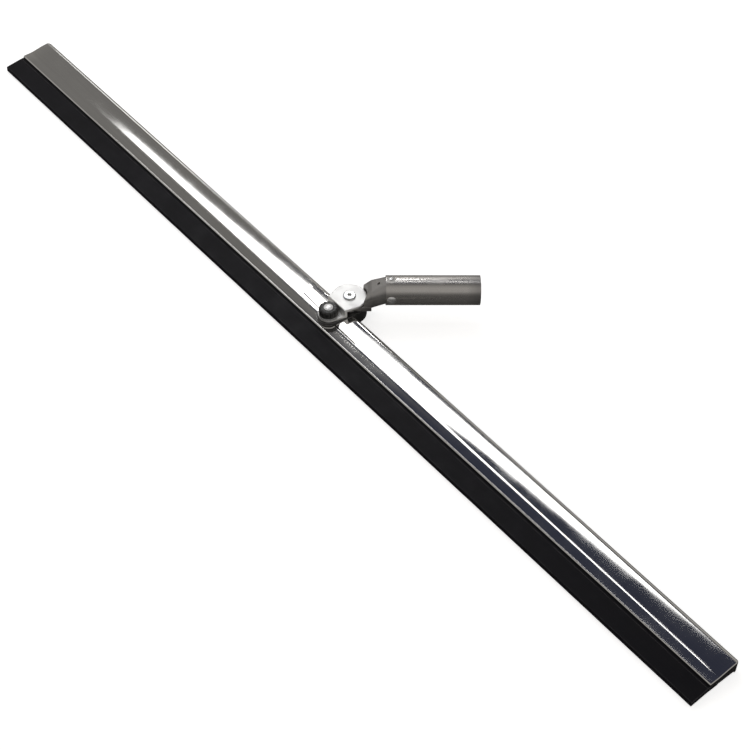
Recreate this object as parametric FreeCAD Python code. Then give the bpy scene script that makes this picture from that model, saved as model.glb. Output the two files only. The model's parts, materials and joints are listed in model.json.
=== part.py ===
"""Long straight squeegee with a swivelling pole socket.

Millimetres. X runs along the bar, Y back from the blade's tip, Z up. The origin is the middle of
the bar's flat underside, which is the plane that the tool rests on. Each function makes one piece
in its working place, and the last lines write every piece to its own file.
"""
import FreeCAD
import Part
import math
import os

V = FreeCAD.Vector
UP = V(0, 0, 1)
ALONG = V(1, 0, 0)

# ---- overall sizes --------------------------------------------------------------------------
bar_length = 914.0            # 36 inch frame
channel_depth = 31.8          # front lip to rear wall
blade_reach = 19.0            # rubber standing out in front of the lip
clearance = 0.10              # between a pin or shank and its hole
loose = 0.30                  # between pieces that only lie side by side

# ---- pressed channel ------------------------------------------------------------------------
sheet = 1.2                   # steel thickness
hem_depth = 7.5               # front lip, folded double
lip_rise = 2.6                # height of the folded lip
crease_setback = 10.3         # front lip to the crease in the top
crease_radius = 3.0
ramp_rise = 2.6               # how far the top climbs from the crease to the rear corner
rear_radius = 4.5             # roll between the top and the rear wall
rear_wall_foot = 0.6          # rear wall stops this far above the underside
corner_radius = 5.0           # rear corners in plan
rim_radius = 1.2              # roll along both ends
rim_drop = 2.0                # turned-down rim at the ends, below the lip's top

# ---- blade and lower jaw --------------------------------------------------------------------
plate_thickness = 2.0
plate_front_inset = 1.0       # lower jaw stops behind the lip
plate_end_inset = 1.5
blade_thickness = 5.0
blade_grip = 8.4              # rubber held between the jaws
blade_droop = 2.0             # tip hangs this far below the grip
blade_bend_radius = 30.0
blade_bend_reach = 1.0        # bend's place in front of the lip
spacer_depth = 5.0            # heel strips behind the blade
plug_length = 18.0
plug_slot_depth = 6.0         # finger slot in each plug's inner end
plug_slot_width = 8.0
plug_slot_from_blade = 5.0

# ---- clamp screws ---------------------------------------------------------------------------
screws_each_side = 4
first_screw = 55.0
end_screw_inset = 57.0        # end of the bar to the last screw
screw_setback = 18.9          # lip to screw line
screw_radius = 2.0
screw_head_radius = 4.0
screw_recess = 0.15           # heads sit this far above the resting plane
nut_across_flats = 7.0
nut_height = 4.0
drive_width = 1.1             # arms of the cross drive
drive_depth = 1.4
drive_arm = 2.4

# ---- swivel head ----------------------------------------------------------------------------
pivot_behind = 4.0            # pivot axis behind the channel's rear wall
saddle_radius = 15.2          # round rear of the saddle
saddle_nose_radius = 9.8
saddle_land = 2.2             # saddle thickness over the channel under the lock stud
saddle_pad_rise = 1.4         # pad under the swivel, above the land
saddle_skirt_foot = 1.5       # skirt behind the bar stops above the resting plane
saddle_wall = 3.5
friction_thickness = 0.8
tongue_thickness = 4.0
tongue_radius = 11.6
wave_thickness = 0.8
wave_radius = 9.3
strap_thickness = 2.0
strap_cap_radius = 14.8
strap_foot_radius = 8.8
strap_gap = 0.3               # foot floats, so that the knob can pull it down
strap_edge = 0.9              # rounded rim of the cap
pivot_radius = 3.0
pivot_head_radius = 5.5
pivot_head_height = 1.6
pivot_head_roll = 1.0         # rounding round the head
pivot_drive_corner = 2.0      # hexagon drive, middle to corner
pivot_drive_depth = 1.9
saddle_post_radius = 3.2      # cast posts that pass down through the channel
saddle_post_spread = 8.6      # either side of the middle
saddle_post_inset = 9.9       # posts in front of the channel's rear wall
saddle_screw_radius = 1.75
saddle_screw_head_radius = 4.2
saddle_screw_head_height = 2.2
saddle_screw_cover = 0.8      # metal left over the blind holes
backing_thickness = 2.0
backing_half_length = 24.0
backing_back_inset = 5.1      # backing plate's rear edge in front of the rear wall
stud_radius = 3.0
stud_head_side = 8.2
stud_head_height = 3.0
stud_neck_side = 6.0
washer_radius = 7.6
washer_thickness = 1.0
knob_radius = 8.4
knob_height = 6.4
knob_lobes = 12
knob_flute_radius = 1.3
knob_flute_outset = 0.6       # flute centres outside the knob's rim
knob_foot = 1.2               # plain band under the flutes
knob_roll = 2.0               # rounding round the top
insert_radius = 4.0
insert_dome = 1.1

# ---- neck and pole socket -------------------------------------------------------------------
handle_turn = 38.2            # rest position, swung from straight back towards +X
pole_bore_radius = 11.5       # takes a 22 mm pole
socket_wall = 1.2
socket_draw = 0.2             # bore is this much tighter where it grips the shank
socket_start = 30.5           # distances along the handle, from the pivot axis
socket_end = 110.5
shank_end = 46.0
shank_bore_length = 17.5
socket_axis_height = 28.0
seam_width = 0.5
neck_front_width = 21.0
neck_front_height = 12.0
neck_mid_width = 22.4
neck_corner = 4.0
neck_mid_at = 18.5
neck_mid_height = 18.5
neck_gap = 0.7                # between the neck's hollow front and the cap
dimple_radius = 1.3
dimple_depth = 2.0
dimple_at = 24.5
rivet_at = 35.0
rivet_radius = 2.2
rivet_head_radius = 4.1
rivet_head_height = 1.9
top_rivet_depth = 8.0

# ---- heights and places worked out from the sizes above -------------------------------------
half_length = bar_length / 2
lip_y = -channel_depth / 2
rear_y = channel_depth / 2
tip_y = lip_y - blade_reach
crease_y = lip_y + crease_setback
hem_back_y = lip_y + hem_depth
grip_bottom = plate_thickness
grip_top = grip_bottom + blade_thickness
lip_top = grip_top + lip_rise
rim_foot = lip_top - rim_drop
ramp_slope = ramp_rise / (rear_y - crease_y)
blade_back_y = lip_y + blade_grip
screw_y = lip_y + screw_setback
last_screw = half_length - end_screw_inset
socket_outer_radius = pole_bore_radius + socket_wall
shank_bore_radius = pole_bore_radius - socket_draw
pivot_y = rear_y + pivot_behind
riser_back_y = pivot_y - tongue_radius - 2 * loose
riser_front_y = riser_back_y - strap_thickness
lock_y = riser_front_y - loose - knob_radius
saddle_post_y = rear_y - saddle_post_inset


def ramp_top(y):
    """Height of the channel's sloping top at a place behind the crease."""
    return lip_top + ramp_slope * (y - crease_y)


ramp_sheet = sheet * math.hypot(1, ramp_slope)          # sheet measured straight down
backing_drop = backing_thickness * math.hypot(1, ramp_slope)
backing_seat = ramp_top(saddle_post_y) - ramp_sheet - backing_drop
land_top = ramp_top(lock_y) + saddle_land
pad_top = land_top + saddle_pad_rise
tongue_bottom = pad_top + friction_thickness
tongue_top = tongue_bottom + tongue_thickness
cap_bottom = tongue_top + wave_thickness
cap_top = cap_bottom + strap_thickness
foot_bottom = land_top + strap_gap
foot_top = foot_bottom + strap_thickness
pad_front_y = riser_back_y + loose
knob_bottom = foot_top + washer_thickness
knob_top = knob_bottom + knob_height
screw_places = [
    side * (first_screw + i * (last_screw - first_screw) / (screws_each_side - 1))
    for side in (-1, 1)
    for i in range(screws_each_side)
]


# ---- helpers --------------------------------------------------------------------------------
def section(y, z):
    return V(0, y, z)


def plan(x, y):
    return V(x, y, 0)


def outline(corners, place):
    """Closed wire through (a, b, radius) corners, with an arc at each corner that has a radius."""
    ends = []
    for i, (a, b, radius) in enumerate(corners):
        here = place(a, b)
        if radius == 0:
            ends.append((here, None, here))
            continue
        after_corner = corners[(i + 1) % len(corners)]
        back = (place(*corners[i - 1][:2]) - here).normalize()
        ahead = (place(*after_corner[:2]) - here).normalize()
        half = back.getAngle(ahead) / 2
        reach = radius / math.tan(half)
        inward = (back + ahead).normalize()
        middle = here + inward * (radius / math.sin(half) - radius)
        ends.append((here + back * reach, middle, here + ahead * reach))
    edges = []
    for i, (start, middle, end) in enumerate(ends):
        if middle is not None:
            edges.append(Part.Arc(start, middle, end).toShape())
        following = ends[(i + 1) % len(ends)][0]
        if end.distanceToPoint(following) > 1e-6:
            edges.append(Part.LineSegment(end, following).toShape())
    return Part.Wire(edges)


def bar_prism(corners, length):
    """A cross-section pulled along the bar, centred on its middle."""
    solid = Part.Face(outline(corners, section)).extrude(V(length, 0, 0))
    solid.translate(V(-length / 2, 0, 0))
    return solid


def upright_prism(corners, bottom, top):
    """An outline in plan, pulled straight up."""
    solid = Part.Face(outline(corners, plan)).extrude(V(0, 0, top - bottom))
    solid.translate(V(0, 0, bottom))
    return solid


def peg(radius, x, y, bottom, top):
    return Part.makeCylinder(radius, top - bottom, V(x, y, bottom), UP)


def block(x0, x1, y0, y1, z0, z1):
    return Part.makeBox(x1 - x0, y1 - y0, z1 - z0, V(x0, y0, z0))


def two_circle_outline(radius_a, y_a, radius_b, y_b, bottom, top):
    """Plate with a round nose at y_a and a round back at y_b, joined by common tangents."""
    lean = math.asin((radius_b - radius_a) / (y_b - y_a))
    side = V(math.cos(lean), -math.sin(lean), 0)
    mirror = V(-side.x, side.y, 0)
    a = V(0, y_a, 0)
    b = V(0, y_b, 0)
    edges = [
        Part.Arc(a + mirror * radius_a, a - V(0, radius_a, 0), a + side * radius_a).toShape(),
        Part.LineSegment(a + side * radius_a, b + side * radius_b).toShape(),
        Part.Arc(b + side * radius_b, b + V(0, radius_b, 0), b + mirror * radius_b).toShape(),
        Part.LineSegment(b + mirror * radius_b, a + mirror * radius_a).toShape(),
    ]
    solid = Part.Face(Part.Wire(edges)).extrude(V(0, 0, top - bottom))
    solid.translate(V(0, 0, bottom))
    return solid


def sunk_screw(radius, head_radius, x, y, head_z, tip_z):
    """Countersunk screw whose flat face is at head_z; it may point up or down."""
    way = 1 if tip_z > head_z else -1
    direction = V(0, 0, way)
    head_height = head_radius - radius
    head = Part.makeCone(head_radius, radius, head_height, V(x, y, head_z), direction)
    shank = Part.makeCylinder(radius, abs(tip_z - head_z), V(x, y, head_z), direction)
    return head.fuse(shank).removeSplitter()


def cross_recess(x, y, face_z, way):
    """Cross-shaped drive cut into a screw's flat face; way is +1 where the cut goes up."""
    far_z = face_z + way * drive_depth
    low = min(face_z, far_z) - (clearance if way > 0 else 0)
    high = max(face_z, far_z) + (clearance if way < 0 else 0)
    half = drive_width / 2
    cross = block(x - drive_arm, x + drive_arm, y - half, y + half, low, high)
    return cross.fuse(block(x - half, x + half, y - drive_arm, y + drive_arm, low, high))


def cut_all(solid, tools):
    for tool in tools:
        solid = solid.cut(tool)
    return solid


def handle_place(shape):
    """Move a shape made along +Y from the origin to the pivot, swung to the rest position."""
    shape.rotate(V(0, 0, 0), UP, -handle_turn)
    shape.translate(V(0, pivot_y, 0))
    return shape


# ---- channel --------------------------------------------------------------------------------
def channel_plan(inset):
    """The channel's plan outline, moved in from its ends and rear by an inset."""
    x = half_length - inset
    y = rear_y - inset
    front = lip_y - 1
    radius = corner_radius - inset
    corners = [(-x, front, 0), (x, front, 0), (x, y, radius), (-x, y, radius)]
    return upright_prism(corners, 0, 2 * lip_top)


def channel_outside():
    """Everything under the channel's outer skin, with rolled ends."""
    corners = [
        (lip_y, grip_top, lip_rise / 2),
        (lip_y, lip_top, lip_rise / 2),
        (crease_y, lip_top, crease_radius),
        (rear_y, lip_top + ramp_rise, rear_radius),
        (rear_y, rear_wall_foot, 0),
        (hem_back_y, rear_wall_foot, 0),
        (hem_back_y, grip_top, 0),
    ]
    body = bar_prism(corners, bar_length).common(channel_plan(0))
    end_edges = []
    for edge in body.Edges:
        middle = edge.CenterOfMass
        if half_length - abs(middle.x) < 0.01 and middle.z > grip_top + lip_rise / 4:
            end_edges.append(edge)
    return body.makeFillet(rim_radius, end_edges)


def channel_hollow():
    """The space under the sheet, behind the folded lip."""
    lean = math.hypot(1, ramp_slope)
    inner_crease_shift = sheet * (lean - 1) / ramp_slope
    inner_top = lip_top - sheet
    inner_rear = rear_y - sheet
    crease_in = crease_y + inner_crease_shift
    corners = [
        (hem_back_y, rear_wall_foot - 1, 0),
        (hem_back_y, inner_top, 0),
        (crease_in, inner_top, crease_radius + sheet),
        (inner_rear, inner_top + ramp_slope * (inner_rear - crease_in), rear_radius - sheet),
        (inner_rear, rear_wall_foot - 1, 0),
    ]
    return bar_prism(corners, bar_length - 2 * sheet).common(channel_plan(sheet))


def end_windows():
    """The ends are open below the turned-down rim."""
    tools = []
    for side in (-1, 1):
        inner = side * (half_length - corner_radius)
        outer = side * (half_length + 1)
        x0, x1 = sorted((inner, outer))
        tools.append(block(x0, x1, hem_back_y - 1, rear_y - corner_radius, -1, rim_foot))
    front_keep = block(-half_length, half_length, lip_y, hem_back_y, grip_top, lip_top)
    return [tool.cut(front_keep) for tool in tools]


def channel():
    shell = channel_outside().cut(channel_hollow())
    holes = [peg(stud_radius + clearance, 0, lock_y, 0, 2 * lip_top)]
    for x in (-saddle_post_spread, saddle_post_spread):
        holes.append(peg(saddle_post_radius + clearance, x, saddle_post_y, 0, 2 * lip_top))
    return cut_all(shell, end_windows() + holes)


# ---- jaws, blade and their fasteners --------------------------------------------------------
plate_front_y = lip_y + plate_front_inset
plate_back_y = rear_y - sheet - loose
spacer_back_y = rear_y - sheet - 2 * loose
spacer_front_y = spacer_back_y - spacer_depth


def lower_plate():
    x = half_length - plate_end_inset
    radius = corner_radius - sheet - loose
    corners = [
        (-x, plate_front_y, 0),
        (x, plate_front_y, 0),
        (x, plate_back_y, radius),
        (-x, plate_back_y, radius),
    ]
    plate = upright_prism(corners, 0, plate_thickness)
    sinks = []
    for x in screw_places:
        sinks.append(sunk_screw(
            screw_radius + clearance, screw_head_radius + clearance,
            x, screw_y, screw_recess - clearance, plate_thickness + 1))
        sinks.append(peg(screw_head_radius + clearance, x, screw_y, -1, screw_recess - clearance))
    return cut_all(plate, sinks)


def blade():
    fall = blade_droop
    bend_y = lip_y - blade_bend_reach
    corners = [
        (blade_back_y, grip_bottom, 0),
        (blade_back_y, grip_top, 0),
        (bend_y, grip_top, blade_bend_radius),
        (tip_y, grip_top - fall, 0),
        (tip_y, grip_bottom - fall, 0),
        (bend_y, grip_bottom, blade_bend_radius + blade_thickness),
    ]
    return bar_prism(corners, bar_length)


def spacer_bars():
    """Two heel strips, one each side of the swivel's backing plate."""
    top = ramp_top(spacer_front_y) - ramp_sheet
    inner = backing_half_length + 2 * loose
    outer = half_length - plug_length - sheet - loose
    skin = channel_outside().cut(channel_hollow())
    bars = []
    for side in (-1, 1):
        x0, x1 = sorted((side * inner, side * outer))
        bar = block(x0, x1, spacer_front_y, spacer_back_y, plate_thickness, top)
        bars.append(bar.cut(skin))
    return Part.makeCompound(bars)


def end_plug(side):
    """Moulded plug that fills the channel's end behind the blade."""
    inner = half_length - plug_length
    outer = half_length - loose
    x0, x1 = sorted((side * inner, side * outer))
    body = block(x0, x1, blade_back_y, rear_y, plate_thickness, 2 * lip_top)
    body = body.common(channel_hollow().fuse(rim_space(side)))
    slot_front = blade_back_y + plug_slot_from_blade
    finger_slot = block(
        side * inner - plug_slot_depth, side * inner + plug_slot_depth,
        slot_front, slot_front + plug_slot_width, 0, grip_top)
    return body.cut(finger_slot)


def rim_space(side):
    """Room under the turned-down rim at one end."""
    x0, x1 = sorted((side * (half_length - corner_radius), side * half_length))
    return block(x0, x1, hem_back_y, rear_y - corner_radius, 0, rim_foot)


def clamp_screws():
    tip = ramp_top(screw_y) - ramp_sheet - loose
    screws = []
    for x in screw_places:
        screw = sunk_screw(screw_radius, screw_head_radius, x, screw_y, screw_recess, tip)
        screws.append(screw.cut(cross_recess(x, screw_y, screw_recess, 1)))
    return Part.makeCompound(screws)


def clamp_nuts():
    """Hexagon nuts welded under the channel's top, trimmed to its slope."""
    top = ramp_top(screw_y) - ramp_sheet
    skin = channel_outside().cut(channel_hollow())
    corner = nut_across_flats / 2 / math.cos(math.pi / 6)
    nuts = []
    for x in screw_places:
        turns = [math.radians(60 * k) for k in range(6)]
        hexagon = [(x + corner * math.sin(a), screw_y + corner * math.cos(a), 0) for a in turns]
        nut = upright_prism(hexagon, top - nut_height, top + 1).cut(skin)
        nut = sorted(nut.Solids, key=lambda solid: solid.CenterOfMass.z)[0]
        nuts.append(nut.cut(peg(screw_radius + clearance / 2, x, screw_y, 0, 2 * lip_top)))
    return Part.makeCompound(nuts)


# ---- swivel head ----------------------------------------------------------------------------
def saddle():
    """Cast base: a pear-shaped plate on the channel, with a round skirt behind the bar."""
    low = two_circle_outline(
        saddle_nose_radius, lock_y, saddle_radius, pivot_y, saddle_skirt_foot, land_top)
    high = peg(saddle_radius, 0, pivot_y, saddle_skirt_foot, pad_top)
    keep_back = block(
        -2 * saddle_radius, 2 * saddle_radius, pad_front_y, pivot_y + 2 * saddle_radius, 0, pad_top)
    body = low.fuse(high.common(keep_back)).removeSplitter()
    bar_space = bar_prism([
        (lip_y - blade_reach, -1, 0),
        (lip_y - blade_reach, lip_top, 0),
        (crease_y, lip_top, crease_radius),
        (rear_y, lip_top + ramp_rise, rear_radius),
        (rear_y, -1, 0),
    ], 6 * saddle_radius)
    pocket = peg(saddle_radius - saddle_wall, 0, pivot_y, 0, land_top - saddle_wall)
    pocket = pocket.cut(block(
        -saddle_radius, saddle_radius, 0, rear_y + saddle_wall, -1, pad_top))
    pocket = pocket.cut(peg(pivot_radius + saddle_wall, 0, pivot_y, 0, pad_top))
    posts = [
        peg(saddle_post_radius, x, saddle_post_y, backing_seat + backing_drop / 2, land_top)
        for x in (-saddle_post_spread, saddle_post_spread)
    ]
    holes = [
        peg(stud_radius + clearance, 0, lock_y, 0, pad_top + 1),
        peg(pivot_radius + clearance / 2, 0, pivot_y, saddle_skirt_foot + saddle_wall, pad_top + 1),
    ]
    for x in (-saddle_post_spread, saddle_post_spread):
        holes.append(peg(
            saddle_screw_radius + clearance / 2, x, saddle_post_y,
            0, land_top - saddle_screw_cover + clearance))
    body = cut_all(body, [bar_space, pocket]).fuse(posts).removeSplitter()
    return cut_all(body, holes)


def backing_blank():
    """Sloping plate against the underside of the channel's top, before its holes."""
    front = crease_y + crease_radius / 2
    back = rear_y - backing_back_inset
    high_front = ramp_top(front) - ramp_sheet
    high_back = ramp_top(back) - ramp_sheet
    corners = [
        (front, high_front - backing_drop, 0),
        (front, high_front, 0),
        (back, high_back, 0),
        (back, high_back - backing_drop, 0),
    ]
    return bar_prism(corners, 2 * backing_half_length)


def backing_plate():
    half_neck = stud_neck_side / 2 + clearance
    tools = [block(-half_neck, half_neck, lock_y - half_neck, lock_y + half_neck, 0, lip_top)]
    for x in (-saddle_post_spread, saddle_post_spread):
        tools.append(peg(saddle_post_radius + clearance, x, saddle_post_y, 0, 2 * lip_top))
    return cut_all(backing_blank(), tools)


def saddle_screws():
    """Pan-headed screws from inside the channel, up into the saddle's posts."""
    blank = backing_blank()
    head_face = backing_seat - saddle_screw_head_height
    screws = []
    for x in (-saddle_post_spread, saddle_post_spread):
        head = peg(saddle_screw_head_radius, x, saddle_post_y,
                   head_face, backing_seat + backing_drop / 2).cut(blank)
        shank = peg(saddle_screw_radius, x, saddle_post_y,
                    backing_seat - saddle_screw_head_height / 2, land_top - saddle_screw_cover)
        screw = head.fuse(shank).removeSplitter()
        screws.append(screw.cut(cross_recess(x, saddle_post_y, head_face, 1)))
    return Part.makeCompound(screws)


def ring(radius, hole, x, y, bottom, top):
    return peg(radius, x, y, bottom, top).cut(peg(hole, x, y, bottom - 1, top + 1))


def friction_washer():
    return ring(tongue_radius, pivot_radius + clearance, 0, pivot_y, pad_top, tongue_bottom)


def wave_washer():
    return ring(
        wave_radius, pivot_radius + clearance, 0, pivot_y, tongue_top, cap_bottom)


def clamp_strap():
    """Pressed strap: a foot under the knob, a riser, and a round cap over the swivel."""
    wide = 2 * strap_cap_radius
    pressing = two_circle_outline(
        strap_foot_radius, lock_y, strap_cap_radius, pivot_y, foot_bottom, cap_top)
    over_foot = block(-wide, wide, lock_y - wide, riser_front_y, foot_top, cap_top)
    under_cap = block(-wide, wide, riser_back_y, pivot_y + wide, foot_bottom, cap_bottom)
    strap = cut_all(pressing, [over_foot, under_cap])
    rim = [
        edge for edge in strap.Edges
        if abs(edge.CenterOfMass.z - cap_top) < 1e-3
    ]
    strap = strap.makeFillet(strap_edge, rim)
    return cut_all(strap, [
        peg(pivot_radius + clearance, 0, pivot_y, cap_bottom - 1, cap_top + 1),
        peg(stud_radius + clearance, 0, lock_y, 0, foot_top + 1),
    ])


def pivot_screw():
    shank = peg(pivot_radius, 0, pivot_y, saddle_skirt_foot + saddle_wall + loose, cap_top)
    head = peg(pivot_head_radius, 0, pivot_y, cap_top, cap_top + pivot_head_height)
    head = head.makeFillet(
        pivot_head_roll,
        [e for e in head.Edges if abs(e.CenterOfMass.z - cap_top - pivot_head_height) < 1e-3])
    turns = [math.radians(60 * k) for k in range(6)]
    hexagon = [
        (pivot_drive_corner * math.sin(a), pivot_y + pivot_drive_corner * math.cos(a), 0)
        for a in turns
    ]
    top = cap_top + pivot_head_height
    return head.fuse(shank).removeSplitter().cut(
        upright_prism(hexagon, top - pivot_drive_depth, top + 1))


def lock_stud():
    """Square-headed stud, held inside the channel by its square neck."""
    plate_bottom = ramp_top(lock_y) - ramp_sheet - backing_drop
    rise = ramp_slope * stud_head_side / 2
    head_top = plate_bottom - rise
    half_head = stud_head_side / 2
    half_neck = stud_neck_side / 2
    head = block(-half_head, half_head, lock_y - half_head, lock_y + half_head,
                 head_top - stud_head_height, head_top)
    neck_top = ramp_top(lock_y) - ramp_sheet - ramp_slope * half_neck
    neck = block(-half_neck, half_neck, lock_y - half_neck, lock_y + half_neck, head_top, neck_top)
    thread = peg(stud_radius, 0, lock_y, head_top, knob_top - insert_dome)
    return head.fuse([neck, thread]).removeSplitter()


def lock_washer():
    return ring(washer_radius, stud_radius + clearance, 0, lock_y, foot_top, knob_bottom)


def lock_knob():
    """Fluted knob with a rounded top, moulded on its metal insert."""
    body = peg(knob_radius, 0, lock_y, knob_bottom, knob_top)
    body = body.makeFillet(
        knob_roll, [e for e in body.Edges if abs(e.CenterOfMass.z - knob_top) < 1e-3])
    flutes = []
    for k in range(knob_lobes):
        a = 2 * math.pi * k / knob_lobes
        reach = knob_radius + knob_flute_outset
        flutes.append(peg(
            knob_flute_radius, reach * math.cos(a), lock_y + reach * math.sin(a),
            knob_bottom + knob_foot, knob_top + 1))
    seat = peg(insert_radius + clearance / 2, 0, lock_y, knob_bottom - 1, knob_top + 1)
    return cut_all(body, flutes + [seat])


def knob_insert():
    """Threaded insert, closed on top by a shallow dome."""
    body = peg(insert_radius, 0, lock_y, knob_bottom, knob_top)
    ball_radius = (insert_radius ** 2 + insert_dome ** 2) / (2 * insert_dome)
    ball = Part.makeSphere(ball_radius, V(0, lock_y, knob_top + insert_dome - ball_radius))
    dome = ball.common(peg(insert_radius, 0, lock_y, knob_top, knob_top + 2 * insert_dome))
    body = body.fuse(dome).removeSplitter()
    return body.cut(peg(
        stud_radius + clearance / 2, 0, lock_y, knob_bottom - 1, knob_top - insert_dome + clearance))


# ---- neck and socket, made along +Y from the pivot ------------------------------------------
def across(y):
    """Placement function for an outline that stands across the handle at a distance y."""
    return lambda x, z: V(x, y, z)


def rounded_box(y, width, height, middle_z, radius):
    half_w = width / 2
    half_h = height / 2
    corners = [
        (-half_w, middle_z - half_h, radius),
        (half_w, middle_z - half_h, radius),
        (half_w, middle_z + half_h, radius),
        (-half_w, middle_z + half_h, radius),
    ]
    return outline(corners, across(y))


def swivel_neck():
    """Tongue on the pivot, a neck that rises and rounds out, and a shank inside the socket."""
    tongue = peg(tongue_radius, 0, 0, tongue_bottom, tongue_top)
    tongue = tongue.fuse(block(
        -tongue_radius, tongue_radius, 0, neck_mid_at, tongue_bottom, tongue_top))
    front_at = strap_cap_radius - neck_mid_width / 8
    end_size = 2 * (pole_bore_radius - loose)
    low = tongue_bottom
    body = Part.makeLoft([
        rounded_box(front_at, neck_front_width, neck_front_height,
                    low + neck_front_height / 2, neck_corner),
        rounded_box(neck_mid_at, neck_mid_width, neck_mid_height,
                    low + neck_mid_height / 2, 1.6 * neck_corner),
        rounded_box(socket_start, end_size, end_size,
                    socket_axis_height, 0.48 * end_size),
    ], True, True)
    cap_sweep = peg(strap_cap_radius + neck_gap, 0, 0, tongue_top, 2 * socket_axis_height)
    lower_sweep = peg(tongue_radius, 0, 0, 0, tongue_bottom)
    shank = Part.makeCylinder(
        shank_bore_radius - clearance / 2, shank_end - socket_start,
        V(0, socket_start, socket_axis_height), V(0, 1, 0))
    neck = body.cut(cap_sweep).cut(lower_sweep)
    neck = neck.fuse([tongue, shank]).removeSplitter()
    dimple_top = 3 * socket_axis_height
    dimple_floor = neck_height_at(dimple_at) - dimple_depth
    tools = [
        peg(pivot_radius + clearance / 2, 0, 0, 0, tongue_top + 1),
        peg(dimple_radius, 0, dimple_at, dimple_floor, dimple_top),
        cross_rivet_hole(rivet_radius + clearance / 2),
        peg(rivet_radius + clearance / 2, 0, rivet_at,
            socket_axis_height + shank_bore_radius - top_rivet_depth - loose, dimple_top),
    ]
    return handle_place(cut_all(neck, tools))


def neck_height_at(y):
    """Top of the neck between its middle and the socket."""
    start = tongue_bottom + neck_mid_height
    end = socket_axis_height + pole_bore_radius - loose
    return start + (end - start) * (y - neck_mid_at) / (socket_start - neck_mid_at)


def cross_rivet_hole(radius):
    reach = 2 * socket_outer_radius
    return Part.makeCylinder(radius, 2 * reach, V(-reach, rivet_at, socket_axis_height), ALONG)


def pole_socket():
    """Rolled tube with a seam along its bottom."""
    axis = V(0, 1, 0)
    start = V(0, socket_start, socket_axis_height)
    length = socket_end - socket_start
    tube = Part.makeCylinder(socket_outer_radius, length, start, axis)
    tube = tube.cut(Part.makeCylinder(shank_bore_radius, length, start, axis))
    pole_start = V(0, socket_start + shank_bore_length, socket_axis_height)
    tube = tube.cut(Part.makeCylinder(
        pole_bore_radius, length - shank_bore_length, pole_start, axis))
    seam = block(-seam_width / 2, seam_width / 2, socket_start - 1, socket_end + 1,
                 socket_axis_height - 2 * socket_outer_radius, socket_axis_height)
    rivet_top = peg(rivet_radius + clearance / 2, 0, rivet_at,
                    socket_axis_height, 2 * socket_axis_height)
    return handle_place(cut_all(tube, [seam, rivet_top, cross_rivet_hole(
        rivet_radius + clearance / 2)]))


def rivet_head(base, direction):
    """Low domed head, seated on the socket's round wall."""
    ball_radius = (rivet_head_radius ** 2 + rivet_head_height ** 2) / (2 * rivet_head_height)
    sink = rivet_head_radius ** 2 / (2 * socket_outer_radius)
    centre = base + direction * (rivet_head_height - ball_radius - sink / 2)
    ball = Part.makeSphere(ball_radius, centre)
    stem = Part.makeCylinder(
        rivet_head_radius, 3 * rivet_head_height, base - direction * rivet_head_height, direction)
    tube = Part.makeCylinder(
        socket_outer_radius, socket_end, V(0, 0, socket_axis_height), V(0, 1, 0))
    return ball.common(stem).cut(tube)


def top_rivet():
    top = V(0, rivet_at, socket_axis_height + socket_outer_radius)
    shank = peg(rivet_radius, 0, rivet_at,
                socket_axis_height + shank_bore_radius - top_rivet_depth, top.z)
    return handle_place(rivet_head(top, UP).fuse(shank).removeSplitter())


def cross_rivet():
    side = V(socket_outer_radius, rivet_at, socket_axis_height)
    other = V(-socket_outer_radius, rivet_at, socket_axis_height)
    shank = Part.makeCylinder(rivet_radius, 2 * socket_outer_radius, other, ALONG)
    heads = [rivet_head(side, ALONG), rivet_head(other, -ALONG)]
    return handle_place(shank.fuse(heads).removeSplitter())


# ---- write the pieces -----------------------------------------------------------------------
pieces = {
    "channel": channel(),
    "lower_plate": lower_plate(),
    "blade": blade(),
    "spacer_bars": spacer_bars(),
    "end_plug_left": end_plug(-1),
    "end_plug_right": end_plug(1),
    "clamp_nuts": clamp_nuts(),
    "clamp_screws": clamp_screws(),
    "backing_plate": backing_plate(),
    "saddle": saddle(),
    "saddle_screws": saddle_screws(),
    "friction_washer": friction_washer(),
    "wave_washer": wave_washer(),
    "clamp_strap": clamp_strap(),
    "pivot_screw": pivot_screw(),
    "lock_stud": lock_stud(),
    "lock_washer": lock_washer(),
    "lock_knob": lock_knob(),
    "knob_insert": knob_insert(),
    "swivel_neck": swivel_neck(),
    "pole_socket": pole_socket(),
    "top_rivet": top_rivet(),
    "cross_rivet": cross_rivet(),
}
os.makedirs("parts", exist_ok=True)
for name, shape in pieces.items():
    shape.exportStep("parts/" + name + ".step")
    box = shape.BoundBox
    print("%-16s solids %2d valid %s volume %10.1f  x %7.1f %7.1f  y %6.1f %6.1f  z %5.1f %5.1f" % (
        name, len(shape.Solids), shape.isValid(), shape.Volume,
        box.XMin, box.XMax, box.YMin, box.YMax, box.ZMin, box.ZMax))
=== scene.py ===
# %% [markdown]
# # A long squeegee with a swivelling pole socket
# The tool is a folded steel channel as long as an arm span, a rubber blade gripped in its front
# edge, and a locking swivel that carries a short tube for a pole. The solid model of it is
# already exact, so this lesson does not model the tool again. It opens that model, gives every
# piece the surface of the real material, and rebuilds only what mesh tools do better: the
# rubber, the screws, the turned pieces and the rivets.
# %% Open the frame
import bpy
import bmesh
import json
import math
from mathutils import Matrix, Vector

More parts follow.
